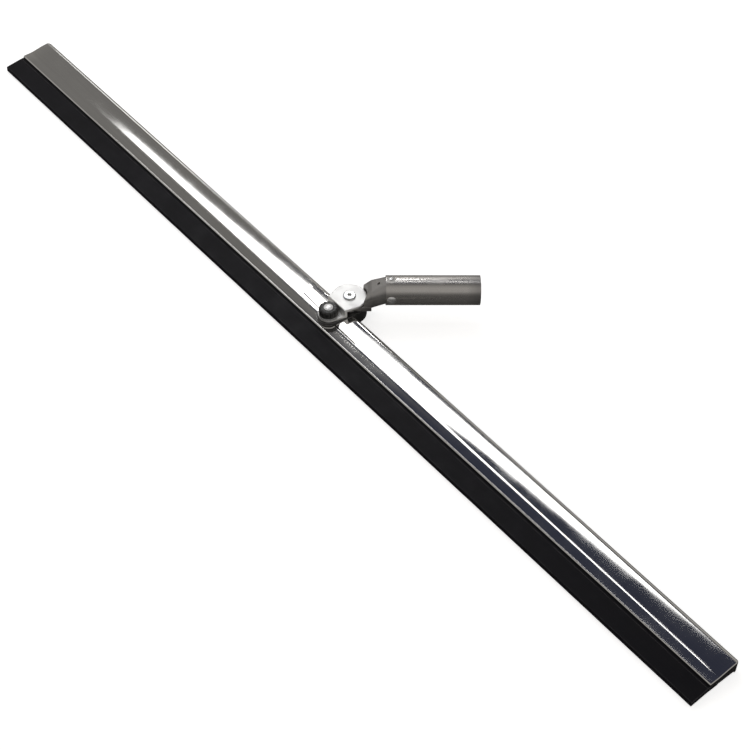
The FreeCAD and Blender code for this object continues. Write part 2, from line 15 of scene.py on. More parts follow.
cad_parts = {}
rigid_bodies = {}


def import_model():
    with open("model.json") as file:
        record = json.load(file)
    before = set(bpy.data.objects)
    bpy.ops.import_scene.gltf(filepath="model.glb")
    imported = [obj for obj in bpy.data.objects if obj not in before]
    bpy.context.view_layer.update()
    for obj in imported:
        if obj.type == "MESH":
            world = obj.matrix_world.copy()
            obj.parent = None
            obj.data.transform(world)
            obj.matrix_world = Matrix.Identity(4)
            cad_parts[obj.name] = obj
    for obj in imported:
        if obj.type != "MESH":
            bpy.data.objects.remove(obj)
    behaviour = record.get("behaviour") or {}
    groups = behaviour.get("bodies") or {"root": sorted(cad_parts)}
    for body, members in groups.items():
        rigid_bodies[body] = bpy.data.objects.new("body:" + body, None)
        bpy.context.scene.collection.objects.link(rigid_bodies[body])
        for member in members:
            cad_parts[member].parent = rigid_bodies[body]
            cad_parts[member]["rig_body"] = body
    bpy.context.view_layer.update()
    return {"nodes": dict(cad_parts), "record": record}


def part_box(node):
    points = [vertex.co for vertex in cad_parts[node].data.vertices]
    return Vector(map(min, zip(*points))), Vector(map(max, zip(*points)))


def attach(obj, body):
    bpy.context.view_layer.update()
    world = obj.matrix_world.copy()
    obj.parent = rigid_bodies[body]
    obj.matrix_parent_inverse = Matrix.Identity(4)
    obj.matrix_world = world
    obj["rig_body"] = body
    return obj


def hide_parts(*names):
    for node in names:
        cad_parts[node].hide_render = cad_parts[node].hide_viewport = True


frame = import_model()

nodes = frame["nodes"]
print("pieces in the frame:", len(nodes))

# %% [markdown]
# A new Blender file holds a cube, a lamp and a camera. They belong to nobody here, so they are
# removed. Most lengths below are typed in millimetres, because that is how the tool is drawn,
# and multiplied by MM.
# %% Clear the start-up objects
for start_up in list(bpy.data.objects):
    if "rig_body" not in start_up and not start_up.name.startswith("body:"):
        bpy.data.objects.remove(start_up)
MM = 0.001

# %% [markdown]
# Materials are built from nodes. Two small helpers keep that short: one adds a node and fills
# its sockets with a number, a colour or another node's output, the other mixes two colours.
# %% Helpers for node trees
def add(tree, kind, sockets=None, **settings):
    node = tree.nodes.new(kind)
    for key, value in settings.items():
        setattr(node, key, value)
    for key, value in (sockets or {}).items():
        if isinstance(value, bpy.types.NodeSocket):
            tree.links.new(value, node.inputs[key])
        else:
            node.inputs[key].default_value = value
    return node


def mix_colour(tree, share, first, second):
    MIX_A, MIX_B, MIX_RESULT = 6, 7, 2
    node = add(tree, "ShaderNodeMix", {0: share, MIX_A: first, MIX_B: second}, data_type="RGBA")
    return node.outputs[MIX_RESULT]


def calc(tree, operation, *values):
    return add(tree, "ShaderNodeMath", dict(enumerate(values)), operation=operation).outputs[0]


def spread(tree, value, low, high, to_low, to_high):
    sockets = {
        "Value": value, "From Min": low, "From Max": high, "To Min": to_low, "To Max": to_high}
    return add(tree, "ShaderNodeMapRange", sockets).outputs[0]


def grey(value, tint=(1.0, 1.0, 1.0)):
    return (value * tint[0], value * tint[1], value * tint[2], 1.0)


print("helpers ready")

# %% [markdown]
# Several materials share an effect: lines left by rolling or polishing, light edges where
# handling has worn a corner (on the rubber the same light edges are a painted highlight), cloudy
# marks from hands, and the fine skin of a moulding. Each is a shader node group, made once, so
# that a change to it reaches every material that uses it.
# A group only puts out masks and heights. The shader itself stays in the material.
# %% A helper that starts a shader node group
def shader_group(name, numbers, outputs):
    group = bpy.data.node_groups.new(name, "ShaderNodeTree")
    group.interface.new_socket("Vector", in_out="INPUT", socket_type="NodeSocketVector")
    for label, value in numbers.items():
        socket = group.interface.new_socket(label, in_out="INPUT", socket_type="NodeSocketFloat")
        socket.default_value = value
    for label in outputs:
        group.interface.new_socket(label, in_out="OUTPUT", socket_type="NodeSocketFloat")
    inside = group.nodes.new("NodeGroupInput").outputs
    outside = group.nodes.new("NodeGroupOutput").inputs
    return group, inside, outside


# %% Rolled and polished lines
grain_group, given, result = shader_group(
    "rolled_grain", {"Along": 12.0, "Across": 2600.0}, ["Lines", "Clouds"])
stretch = add(grain_group, "ShaderNodeCombineXYZ", {
    0: given["Along"], 1: given["Across"], 2: given["Across"]})
stretched = add(grain_group, "ShaderNodeVectorMath", {
    0: given["Vector"], 1: stretch.outputs[0]}, operation="MULTIPLY")
fine_lines = add(grain_group, "ShaderNodeTexNoise", {
    "Vector": stretched.outputs[0], "Scale": 1.0, "Detail": 4.0, "Roughness": 0.65})
clouds = add(grain_group, "ShaderNodeTexNoise", {
    "Vector": given["Vector"], "Scale": 22.0, "Detail": 3.0, "Roughness": 0.5})
grain_group.links.new(fine_lines.outputs[0], result["Lines"])
grain_group.links.new(clouds.outputs[0], result["Clouds"])
print("group", grain_group.name)

# %% [markdown]
# A worn edge is found by comparing the true surface direction with one that a Bevel node has
# rounded: they differ only near a corner. A noise breaks the line up, as wear is never even.
# On the rubber the same mask gives a painted highlight along its cut edges.
# %% Light edges: wear, and a painted highlight on the rubber
edge_wear_and_sheen_group, given, result = shader_group(
    "worn_and_sheen_edges", {"Radius": 0.0006, "Strength": 3.0, "Breakup": 260.0}, ["Mask"])
rounded = add(edge_wear_and_sheen_group, "ShaderNodeBevel", {"Radius": given["Radius"]}, samples=6)
true_face = edge_wear_and_sheen_group.nodes.new("ShaderNodeNewGeometry")
agree = add(edge_wear_and_sheen_group, "ShaderNodeVectorMath", {
    0: rounded.outputs[0], 1: true_face.outputs["Normal"]}, operation="DOT_PRODUCT")
corner = calc(edge_wear_and_sheen_group, "SUBTRACT", 1.0, agree.outputs["Value"])
chips = add(edge_wear_and_sheen_group, "ShaderNodeTexNoise", {
    "Vector": given["Vector"], "Scale": given["Breakup"], "Detail": 4.0})
chipped = spread(edge_wear_and_sheen_group, chips.outputs[0], 0.35, 0.65, 0.35, 1.0)
strong = calc(edge_wear_and_sheen_group, "MULTIPLY", corner, given["Strength"])
patchy = calc(edge_wear_and_sheen_group, "MULTIPLY", strong, chipped)
mask = add(edge_wear_and_sheen_group, "ShaderNodeClamp", {"Value": patchy})
edge_wear_and_sheen_group.links.new(mask.outputs[0], result["Mask"])
print("group", edge_wear_and_sheen_group.name)

# %% Marks left by hands and wiping
hands_group, given, result = shader_group("hand_marks", {"Size": 45.0}, ["Mask", "Specks"])
smears = add(hands_group, "ShaderNodeTexNoise", {
    "Vector": given["Vector"], "Scale": given["Size"], "Detail": 5.0, "Distortion": 0.6})
specks = add(hands_group, "ShaderNodeTexVoronoi", {"Vector": given["Vector"], "Scale": 420.0})
smeared = spread(hands_group, smears.outputs[0], 0.42, 0.7, 0.0, 1.0)
dotted = spread(hands_group, specks.outputs["Distance"], 0.0, 0.12, 1.0, 0.0)
hands_group.links.new(smeared, result["Mask"])
hands_group.links.new(dotted, result["Specks"])
print("group", hands_group.name)

# %% The skin of a moulding or a casting
skin_group, given, result = shader_group("fine_skin", {"Size": 1500.0}, ["Height", "Patches"])
pebbles = add(skin_group, "ShaderNodeTexVoronoi", {
    "Vector": given["Vector"], "Scale": given["Size"]})
soft = add(skin_group, "ShaderNodeTexNoise", {
    "Vector": given["Vector"], "Scale": given["Size"], "Detail": 3.0})
patches = add(skin_group, "ShaderNodeTexNoise", {
    "Vector": given["Vector"], "Scale": 70.0, "Detail": 3.0})
height = calc(skin_group, "ADD", pebbles.outputs["Distance"], soft.outputs[0])
skin_group.links.new(height, result["Height"])
skin_group.links.new(patches.outputs[0], result["Patches"])
print("group", skin_group.name)

# %% [markdown]
# Every material starts the same way: a Principled shader, and coordinates measured on the tool
# itself, so that a pattern stays put when a piece moves. The pole socket is turned from the
# bar, so its coordinates are turned with it and its grain runs along the tube.
# %% A helper that starts a material
HANDLE_TURN = math.radians(38.2)
pivot_low, pivot_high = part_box("pivot_screw")
PIVOT = (pivot_low + pivot_high) / 2


def start_material(name, turned=False):
    material = bpy.data.materials.new(name)
    material.use_nodes = True
    tree = material.node_tree
    shader = tree.nodes["Principled BSDF"]
    vector = tree.nodes.new("ShaderNodeTexCoord").outputs["Object"]
    if turned:
        centred = add(tree, "ShaderNodeMapping", {
            "Vector": vector, "Location": (-PIVOT.x, -PIVOT.y, 0.0)})
        # the handle's own direction becomes X
        vector = add(tree, "ShaderNodeMapping", {
            "Vector": centred.outputs[0],
            "Rotation": (0.0, 0.0, HANDLE_TURN - math.pi / 2)}).outputs[0]
    return material, tree, shader, vector


def place_group(tree, group, vector, **numbers):
    node = tree.nodes.new("ShaderNodeGroup")
    node.node_tree = group
    tree.links.new(vector, node.inputs["Vector"])
    for key, value in numbers.items():
        node.inputs[key].default_value = value
    return node.outputs


def finish_material(tree, shader, colour, roughness, height, depth):
    tree.links.new(colour, shader.inputs["Base Color"])
    tree.links.new(roughness, shader.inputs["Roughness"])
    bump = add(tree, "ShaderNodeBump", {"Height": height, "Distance": depth, "Strength": 1.0})
    tree.links.new(bump.outputs[0], shader.inputs["Normal"])


print("pivot at, mm:", [round(v / MM, 1) for v in PIVOT])

# %% [markdown]
# ## The channel's polished steel
# Stainless strip is bright and nearly mirror-like, with faint lines along its length from the
# rolls, a few cloudy patches and the dull smears that hands and wet cloths leave. The lower jaw
# is the same strip before polishing.
# %% Steel for the channel
def sheet_steel(name, dark, light, rough_low, rough_high):
    material, tree, shader, vector = start_material(name)
    shader.inputs["Metallic"].default_value = 1.0
    shader.inputs["Anisotropic"].default_value = 0.35
    grain = place_group(tree, grain_group, vector, Along=9.0, Across=2400.0)
    hands = place_group(tree, hands_group, vector, Size=38.0)
    edge_wear_and_sheen = place_group(tree, edge_wear_and_sheen_group, vector, Radius=0.0007, Strength=2.5, Breakup=220.0)
    lined = mix_colour(tree, grain["Lines"], dark, light)
    clouded = mix_colour(tree, spread(tree, grain["Clouds"], 0.3, 0.7, 0.0, 0.35), lined, dark)
    colour = mix_colour(tree, edge_wear_and_sheen["Mask"], clouded, grey(0.86))
    rough = spread(tree, grain["Clouds"], 0.3, 0.75, rough_low, rough_high)
    rough = calc(tree, "ADD", rough, calc(tree, "MULTIPLY", hands["Mask"], 0.04))
    # the end faces, which look along the bar, are painted dark as painted shade, and made rougher
    facing = tree.nodes.new("ShaderNodeNewGeometry").outputs["Normal"]
    endwise = calc(tree, "ABSOLUTE", add(tree, "ShaderNodeSeparateXYZ", {0: facing}).outputs["X"])
    painted_end_shade = spread(tree, endwise, 0.55, 0.8, 0.0, 1.0)
    colour = mix_colour(tree, painted_end_shade, colour, grey(0.05))
    rough = calc(tree, "ADD", rough, calc(tree, "MULTIPLY", painted_end_shade, 0.35))
    finish_material(tree, shader, colour, rough, grain["Clouds"], 0.00003)
    return material


channel_steel = sheet_steel(
    "channel_steel", grey(0.56, (1.0, 0.985, 0.96)), grey(0.74, (1.0, 0.99, 0.97)), 0.05, 0.09)
jaw_steel = sheet_steel("jaw_steel", grey(0.42), grey(0.58), 0.28, 0.42)
print("steels:", channel_steel.name, jaw_steel.name)

# %% [markdown]
# ## Rubber
# Natural squeegee rubber is nearly black with a slightly blue bloom. It is extruded, so faint
# lines run its whole length. Its cut edges are painted paler, a painted highlight as thin lines.
# %% Rubber for the blade
def extruded_rubber():
    material, tree, shader, vector = start_material("blade_rubber")
    shader.inputs["Specular IOR Level"].default_value = 0.14
    grain = place_group(tree, grain_group, vector, Along=5.0, Across=1500.0)
    skin = place_group(tree, skin_group, vector, Size=900.0)
    edge_wear_and_sheen = place_group(tree, edge_wear_and_sheen_group, vector, Radius=0.0012, Strength=3.0, Breakup=90.0)
    bluish = (0.98, 0.92, 1.3)
    body = mix_colour(tree, grain["Lines"], grey(0.005, bluish), grey(0.01, bluish))
    bloom = mix_colour(tree, spread(tree, skin["Patches"], 0.5, 0.85, 0.0, 0.4), body, grey(0.014))
    # the paler grey on the cut edges is a painted highlight
    colour = mix_colour(tree, edge_wear_and_sheen["Mask"], bloom, grey(0.13, (1.0, 1.0, 1.05)))
    rough = spread(tree, skin["Patches"], 0.3, 0.7, 0.38, 0.55)
    finish_material(tree, shader, colour, rough, grain["Lines"], 0.00003)
    return material


blade_rubber = extruded_rubber()
print("rubber:", blade_rubber.name)

# %% [markdown]
# ## Mouldings
# The end plugs, the heel strips, the knob and the slip washer are plastic. The first three are
# black with the fine pebbled skin that a spark-eroded mould leaves, and the washer is pale
# nylon. One function makes them all, with a colour and a skin size for each.
# %% Plastics
def moulded_plastic(name, dark, light, rough_low, rough_high, skin_size, skin_depth):
    material, tree, shader, vector = start_material(name)
    shader.inputs["Specular IOR Level"].default_value = 0.5
    skin = place_group(tree, skin_group, vector, Size=skin_size)
    edge_wear_and_sheen = place_group(tree, edge_wear_and_sheen_group, vector, Radius=0.0004, Strength=2.0, Breakup=400.0)
    body = mix_colour(tree, skin["Patches"], dark, light)
    colour = mix_colour(tree, calc(tree, "MULTIPLY", edge_wear_and_sheen["Mask"], 0.5), body, grey(0.2))
    rough = spread(tree, skin["Patches"], 0.3, 0.7, rough_low, rough_high)
    finish_material(tree, shader, colour, rough, skin["Height"], skin_depth)
    return material


plug_plastic = moulded_plastic("plug_plastic", grey(0.008), grey(0.016), 0.42, 0.6, 1300.0, 0.00004)
strip_plastic = moulded_plastic("spacer_plastic", grey(0.03), grey(0.05), 0.45, 0.6, 900.0, 0.00003)
knob_plastic = moulded_plastic("knob_plastic", grey(0.012), grey(0.022), 0.3, 0.42, 1800.0, 0.00002)
slip_nylon = moulded_plastic("friction_plastic", grey(0.72), grey(0.82), 0.35, 0.5, 1100.0, 0.00001)
print("plastics:", *(m.name for m in (plug_plastic, strip_plastic, knob_plastic, slip_nylon)))

# %% [markdown]
# ## Small metal pieces
# Screws, nuts and washers are zinc plated: bright, faintly blue, with cloudy patches where the
# plating is thin. The rivets and the knob's insert are plain bright metal with softer edges.
# %% Plated and bright metal
def bright_metal(name, dark, light, rough_low, rough_high, edge):
    material, tree, shader, vector = start_material(name)
    shader.inputs["Metallic"].default_value = 1.0
    skin = place_group(tree, skin_group, vector, Size=2600.0)
    hands = place_group(tree, hands_group, vector, Size=160.0)
    edge_wear_and_sheen = place_group(tree, edge_wear_and_sheen_group, vector, Radius=0.0003, Strength=3.0, Breakup=500.0)
    plated = mix_colour(tree, spread(tree, skin["Patches"], 0.35, 0.65, 0.0, 1.0), dark, light)
    colour = mix_colour(tree, edge_wear_and_sheen["Mask"], plated, edge)
    rough = calc(tree, "ADD", spread(tree, skin["Patches"], 0.3, 0.7, rough_low, rough_high),
                 calc(tree, "MULTIPLY", hands["Mask"], 0.08))
    finish_material(tree, shader, colour, rough, skin["Height"], 0.000004)
    return material


zinc_plate = bright_metal(
    "fastener_steel", grey(0.5, (0.95, 1.0, 1.08)), grey(0.66, (1.0, 1.0, 0.96)), 0.22, 0.36,
    grey(0.85))
rivet_metal = bright_metal("rivet_metal", grey(0.72), grey(0.86), 0.2, 0.32, grey(0.95))
insert_metal = bright_metal("insert_metal", grey(0.88), grey(0.96), 0.36, 0.46, grey(0.97))
cap_metal = bright_metal(
    "cap_steel", grey(0.92, (1.0, 1.0, 0.99)), grey(0.98), 0.46, 0.56, grey(0.98))
print("metals:", *(m.name for m in (zinc_plate, rivet_metal, insert_metal, cap_metal)))

# %% [markdown]
# ## Castings
# The neck is cast light alloy, tumbled smooth but still faintly pitted. The saddle under it is
# the same alloy, coloured near-black as painted shade for the dark gap under the swivel, and
# bare at its sharpest edges. A mask drives the wear: where it is worn through, the metallic
# value rises and the colour turns to alloy.
# %% Alloy for the neck
def tumbled_alloy():
    material, tree, shader, vector = start_material("neck_casting", turned=True)
    shader.inputs["Metallic"].default_value = 1.0
    skin = place_group(tree, skin_group, vector, Size=700.0)
    hands = place_group(tree, hands_group, vector, Size=110.0)
    edge_wear_and_sheen = place_group(tree, edge_wear_and_sheen_group, vector, Radius=0.0008, Strength=2.5, Breakup=300.0)
    body = mix_colour(
        tree, skin["Patches"], grey(0.3, (1.0, 0.97, 0.95)), grey(0.46, (1.0, 0.98, 0.96)))
    pitted = mix_colour(tree, calc(tree, "MULTIPLY", hands["Specks"], 0.5), body, grey(0.16))
    colour = mix_colour(tree, edge_wear_and_sheen["Mask"], pitted, grey(0.68))
    rough = spread(tree, skin["Patches"], 0.3, 0.7, 0.34, 0.48)
    finish_material(tree, shader, colour, rough, skin["Height"], 0.00005)
    return material


# %% Casting for the saddle, painted near-black as shade
def shade_black_casting():
    material, tree, shader, vector = start_material("saddle_casting")
    skin = place_group(tree, skin_group, vector, Size=900.0)
    edge_wear_and_sheen = place_group(tree, edge_wear_and_sheen_group, vector, Radius=0.0007, Strength=3.5, Breakup=260.0)
    # the near-black base colour is painted shade; the bare edges are wear
    painted_shade_black = mix_colour(tree, skin["Patches"], grey(0.012), grey(0.026))
    bare = spread(tree, edge_wear_and_sheen["Mask"], 0.25, 0.75, 0.0, 1.0)
    colour = mix_colour(tree, bare, painted_shade_black, grey(0.5))
    rough = spread(tree, skin["Patches"], 0.3, 0.7, 0.32, 0.5)
    tree.links.new(bare, shader.inputs["Metallic"])
    finish_material(tree, shader, colour, rough, skin["Height"], 0.00005)
    return material


neck_alloy = tumbled_alloy()
saddle_painted_shade = shade_black_casting()
print("castings:", neck_alloy.name, saddle_painted_shade.name)

# %% [markdown]
# ## The pole socket
# The tube is drawn and lightly polished, so its lines run along it. A mask by distance along
# the tube paints a darker band next to the mouth, a painted shade, and makes that band
# rougher.
# %% Drawn tube
def drawn_tube():
    material, tree, shader, vector = start_material("socket_metal", turned=True)
    shader.inputs["Metallic"].default_value = 1.0
    grain = place_group(tree, grain_group, vector, Along=8.0, Across=1700.0)
    hands = place_group(tree, hands_group, vector, Size=60.0)
    edge_wear_and_sheen = place_group(tree, edge_wear_and_sheen_group, vector, Radius=0.0006, Strength=2.5, Breakup=300.0)
    along = add(tree, "ShaderNodeSeparateXYZ", {0: vector}).outputs["X"]
    # the band next to the mouth is painted darker as painted shade, and made rougher
    mouth_band = spread(tree, along, 0.098, 0.108, 0.0, 1.0)
    lined = mix_colour(
        tree, grain["Lines"], grey(0.4, (1.0, 0.96, 0.92)), grey(0.62, (1.0, 0.97, 0.94)))
    mouth_shaded = mix_colour(tree, calc(tree, "MULTIPLY", mouth_band, 0.45), lined, grey(0.17))
    colour = mix_colour(tree, edge_wear_and_sheen["Mask"], mouth_shaded, grey(0.74))
    rough = calc(tree, "ADD", spread(tree, grain["Clouds"], 0.3, 0.7, 0.2, 0.3),
                 calc(tree, "MULTIPLY", calc(tree, "ADD", hands["Mask"], mouth_band), 0.07))
    finish_material(tree, shader, colour, rough, grain["Lines"], 0.0000003)
    return material


tube_metal = drawn_tube()
print("tube:", tube_metal.name)

# %% [markdown]
# ## Which piece wears which finish
# The record of the solid model names a material slot for each piece. The list below follows
# it, so that whoever repaints the slot repaints the same pieces here. A CAD piece is given a
# material through its object's slot. Its mesh is never touched.
# %% Dress the pieces that keep their solid shape
finishes = {
    "channel_steel": channel_steel, "jaw_steel": jaw_steel, "blade_rubber": blade_rubber,
    "spacer_plastic": strip_plastic, "plug_plastic": plug_plastic, "fastener_steel": zinc_plate,
    "saddle_casting": saddle_painted_shade, "friction_plastic": slip_nylon, "cap_steel": cap_metal,
    "knob_plastic": knob_plastic, "insert_metal": insert_metal, "neck_casting": neck_alloy,
    "socket_metal": tube_metal, "rivet_metal": rivet_metal,
}
slot_of = {part["node"]: part["material_slot"] for part in frame["record"]["subparts"]}
for name, piece in nodes.items():
    for holder in piece.material_slots:
        holder.material = finishes[slot_of[name]]
print("dressed:", len(nodes), "pieces in", len(finishes), "finishes")

# %% [markdown]
# ## A lathe made of Geometry Nodes
# Knobs, rivets, screws and washers are all turned: one section, swung round an axis. A grid of
# points has as many rows as the section has points. The nodes look up each row's radius and
# height in the section, and bend the columns round the axis. Lobes can press flutes into the
# rim, and Waves can lift the ring up and down, so one tree makes the fluted knob and the
# sprung washer as well as plain round pieces.
# %% Start a geometry tree
def geometry_tree(name, numbers):
    tree = bpy.data.node_groups.new(name, "GeometryNodeTree")
    tree.interface.new_socket("Geometry", in_out="INPUT", socket_type="NodeSocketGeometry")
    for label, (kind, value) in numbers.items():
        socket = tree.interface.new_socket(label, in_out="INPUT", socket_type="NodeSocket" + kind)
        if value is not None:
            socket.default_value = value
    tree.interface.new_socket("Geometry", in_out="OUTPUT", socket_type="NodeSocketGeometry")
    given = tree.nodes.new("NodeGroupInput").outputs
    result = tree.nodes.new("NodeGroupOutput").inputs
    return tree, given, result


def end_with_material(tree, geometry, material, result):
    real = add(tree, "GeometryNodeRealizeInstances", {"Geometry": geometry})
    dressed = add(tree, "GeometryNodeSetMaterial", {
        "Geometry": real.outputs[0], "Material": material})
    tree.links.new(dressed.outputs[0], result["Geometry"])


# %% The lathe
lathe, given, result = geometry_tree("turn_on_lathe", {
    "Steps": ("Int", 64), "Lobes": ("Int", 0), "Lobe Depth": ("Float", 0.0),
    "Lobes From": ("Float", 0.0), "Waves": ("Int", 0), "Wave Height": ("Float", 0.0),
    "Material": ("Material", None)})
rows = add(lathe, "GeometryNodeAttributeDomainSize", {
    "Geometry": given["Geometry"]}).outputs["Point Count"]
columns = calc(lathe, "ADD", given["Steps"], 1.0)
blank = add(lathe, "GeometryNodeMeshGrid", {"Vertices X": columns, "Vertices Y": rows})
index = lathe.nodes.new("GeometryNodeInputIndex").outputs[0]
row = calc(lathe, "MODULO", index, rows)
column = calc(lathe, "FLOOR", calc(lathe, "DIVIDE", index, rows))
section_point = add(lathe, "GeometryNodeSampleIndex", {
    "Geometry": given["Geometry"], "Index": row}, data_type="FLOAT_VECTOR")
position = lathe.nodes.new("GeometryNodeInputPosition").outputs[0]
lathe.links.new(position, section_point.inputs["Value"])
in_section = add(lathe, "ShaderNodeSeparateXYZ", {0: section_point.outputs["Value"]}).outputs
turn = calc(lathe, "MULTIPLY", calc(lathe, "DIVIDE", column, given["Steps"]), 2 * math.pi)
ripple = calc(lathe, "COSINE", calc(lathe, "MULTIPLY", turn, given["Lobes"]))
flute = calc(lathe, "POWER", calc(lathe, "MAXIMUM", ripple, 0.0), 1.5)
above = calc(lathe, "GREATER_THAN", in_section["Z"], given["Lobes From"])
pressed = calc(lathe, "MULTIPLY", calc(lathe, "MULTIPLY", flute, given["Lobe Depth"]), above)
outer = calc(lathe, "GREATER_THAN", in_section["Y"], 0.5)
radius = calc(lathe, "SUBTRACT", in_section["X"], calc(lathe, "MULTIPLY", pressed, outer))
lift = calc(lathe, "MULTIPLY", given["Wave Height"],
            calc(lathe, "COSINE", calc(lathe, "MULTIPLY", turn, given["Waves"])))
bent = add(lathe, "ShaderNodeCombineXYZ", {
    0: calc(lathe, "MULTIPLY", radius, calc(lathe, "COSINE", turn)),
    1: calc(lathe, "MULTIPLY", radius, calc(lathe, "SINE", turn)),
    2: calc(lathe, "ADD", in_section["Z"], lift)})
turned = add(lathe, "GeometryNodeSetPosition", {
    "Geometry": blank.outputs["Mesh"], "Position": bent.outputs[0]})
closed = add(lathe, "GeometryNodeMergeByDistance", {
    "Geometry": turned.outputs[0], "Distance": 0.000002})
end_with_material(lathe, closed.outputs[0], given["Material"], result)
print("tree", lathe.name, "with", len(lathe.nodes), "nodes")

# %% [markdown]
# A tree only describes a shape. To get the piece, a temporary object carries the tree as a
# modifier, its inputs are set by their identifiers, and the result is read back as an ordinary
# mesh with no modifier on it. Faces are checked to point outwards, and corners sharper than
# 35 degrees are kept crisp while rounder ones are shaded smooth.
# %% From a tree to a finished piece
CRISP = math.radians(35)


def tidy_mesh(mesh, spacing=0.0000005):
    work = bmesh.new()
    work.from_mesh(mesh)
    bmesh.ops.remove_doubles(work, verts=work.verts, dist=spacing)
    bmesh.ops.dissolve_degenerate(work, edges=work.edges, dist=spacing)
    bmesh.ops.recalc_face_normals(work, faces=work.faces)
    if work.calc_volume(signed=True) < 0:
        bmesh.ops.reverse_faces(work, faces=work.faces)
    open_edges = sum(not edge.is_manifold for edge in work.edges)
    work.to_mesh(mesh)
    work.free()
    for face in mesh.polygons:
        face.use_smooth = True
    mesh.set_sharp_from_angle(angle=CRISP)
    return open_edges


def new_piece(name, mesh):
    mesh.name = name
    piece = bpy.data.objects.new(name, mesh)
    bpy.context.scene.collection.objects.link(piece)
    return piece


def run_tree(tree, base_mesh, inputs):
    """The tree's result on a mesh, as a plain mesh."""
    carrier = bpy.data.objects.new("carrier", base_mesh)
    bpy.context.scene.collection.objects.link(carrier)
    modifier = carrier.modifiers.new("tree", "NODES")
    modifier.node_group = tree
    identifiers = {
        item.name: item.identifier for item in tree.interface.items_tree
        if item.in_out == "INPUT" and item.socket_type != "NodeSocketGeometry"}
    for label, value in inputs.items():
        modifier[identifiers[label]] = value
    bpy.context.view_layer.update()
    evaluated = carrier.evaluated_get(bpy.context.evaluated_depsgraph_get())
    mesh = bpy.data.meshes.new_from_object(evaluated)
    bpy.data.objects.remove(carrier)
    return mesh


def section_mesh(points):
    """Section points (radius, height, 1 on the outer rim or 0), in millimetres."""
    mesh = bpy.data.meshes.new("section")
    mesh.from_pydata(
        [(r * MM, rim, z * MM) for r, z, rim in points],
        [(i, i + 1) for i in range(len(points) - 1)], [])
    return mesh


def arc(centre_r, centre_z, size, start, end, count, rim=0.0):
    """Points on an arc, in degrees anticlockwise from the outward direction."""
    found = []
    for i in range(count + 1):
        angle = math.radians(start + (end - start) * i / count)
        found.append((centre_r + size * math.cos(angle), centre_z + size * math.sin(angle), rim))
    return found


def place(mesh, middle, turn=None):
    mesh.transform(Matrix.Translation(middle) @ (turn or Matrix.Identity(4)))
    return mesh


print("lathe ready")

# %% [markdown]
# ## The knob
# The knob is a black moulding with twelve shallow flutes for wet fingers, above a plain foot.
# Its sizes are read from the CAD knob, so the new one fills the same space. The edge between
# the side and the top is a generous round, which is what draws the light ring on it.
# %% Turn the fluted knob
knob_low, knob_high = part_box("lock_knob")
insert_low, insert_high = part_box("knob_insert")
STUD = (insert_low + insert_high) / 2
KNOB_RADIUS = (knob_high.x - knob_low.x) / 2 / MM
KNOB_HEIGHT = (knob_high.z - knob_low.z) / MM
SEAT_RADIUS = 4.06
KNOB_ROLL = 2.1
knob_section = (
    [(SEAT_RADIUS, 0.0, 0.0), (KNOB_RADIUS - 0.4, 0.0, 1.0)]
    + arc(KNOB_RADIUS - 0.4, 0.4, 0.4, -90, 0, 4, 1.0)[1:]
    + [(KNOB_RADIUS, 1.05, 1.0), (KNOB_RADIUS, 1.35, 1.0), (KNOB_RADIUS, 2.4, 1.0)]
    + arc(KNOB_RADIUS - KNOB_ROLL, KNOB_HEIGHT - KNOB_ROLL, KNOB_ROLL, 0, 90, 8, 1.0)
    + arc(SEAT_RADIUS + 0.5, KNOB_HEIGHT - 0.5, 0.5, 90, 180, 4)
    + [(SEAT_RADIUS, 0.0, 0.0)]
)
knob_mesh = run_tree(lathe, section_mesh(knob_section), {
    "Steps": 144, "Lobes": 12, "Lobe Depth": 0.7 * MM, "Lobes From": 1.2 * MM,
    "Material": knob_plastic})
place(knob_mesh, Vector((STUD.x, STUD.y, knob_low.z)))
print("open edges:", tidy_mesh(knob_mesh))
knob_grip = new_piece("knob_grip", knob_mesh)
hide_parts("lock_knob")
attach(knob_grip, "knob")
print("knob faces:", len(knob_mesh.polygons))

# %% [markdown]
# ## The insert in the knob
# The knob grips a bright threaded insert whose closed end is a low dome with a turned lip. The
# dome is what shows in the middle of the knob, so it gets a real curve and a fine lip.
# %% Turn the domed insert
INSERT_RADIUS = (insert_high.x - insert_low.x) / 2 / MM
INSERT_HEIGHT = (insert_high.z - insert_low.z) / MM
DOME = 0.8
dome_ball = (INSERT_RADIUS ** 2 + DOME ** 2) / (2 * DOME)
dome_edge = math.degrees(math.acos(INSERT_RADIUS / dome_ball))
insert_section = (
    [(0.0, 0.0, 0.0), (INSERT_RADIUS, 0.0, 0.0), (INSERT_RADIUS, INSERT_HEIGHT - DOME, 0.0)]
    + arc(0.0, INSERT_HEIGHT - dome_ball, dome_ball, dome_edge, 90, 12)[1:]
)
insert_mesh = run_tree(lathe, section_mesh(insert_section), {"Steps": 72, "Material": insert_metal})
place(insert_mesh, Vector((STUD.x, STUD.y, insert_low.z)))
print("open edges:", tidy_mesh(insert_mesh))
knob_dome = new_piece("knob_dome", insert_mesh)
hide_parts("knob_insert")
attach(knob_dome, "knob")
print("insert radius, mm:", round(INSERT_RADIUS, 2))

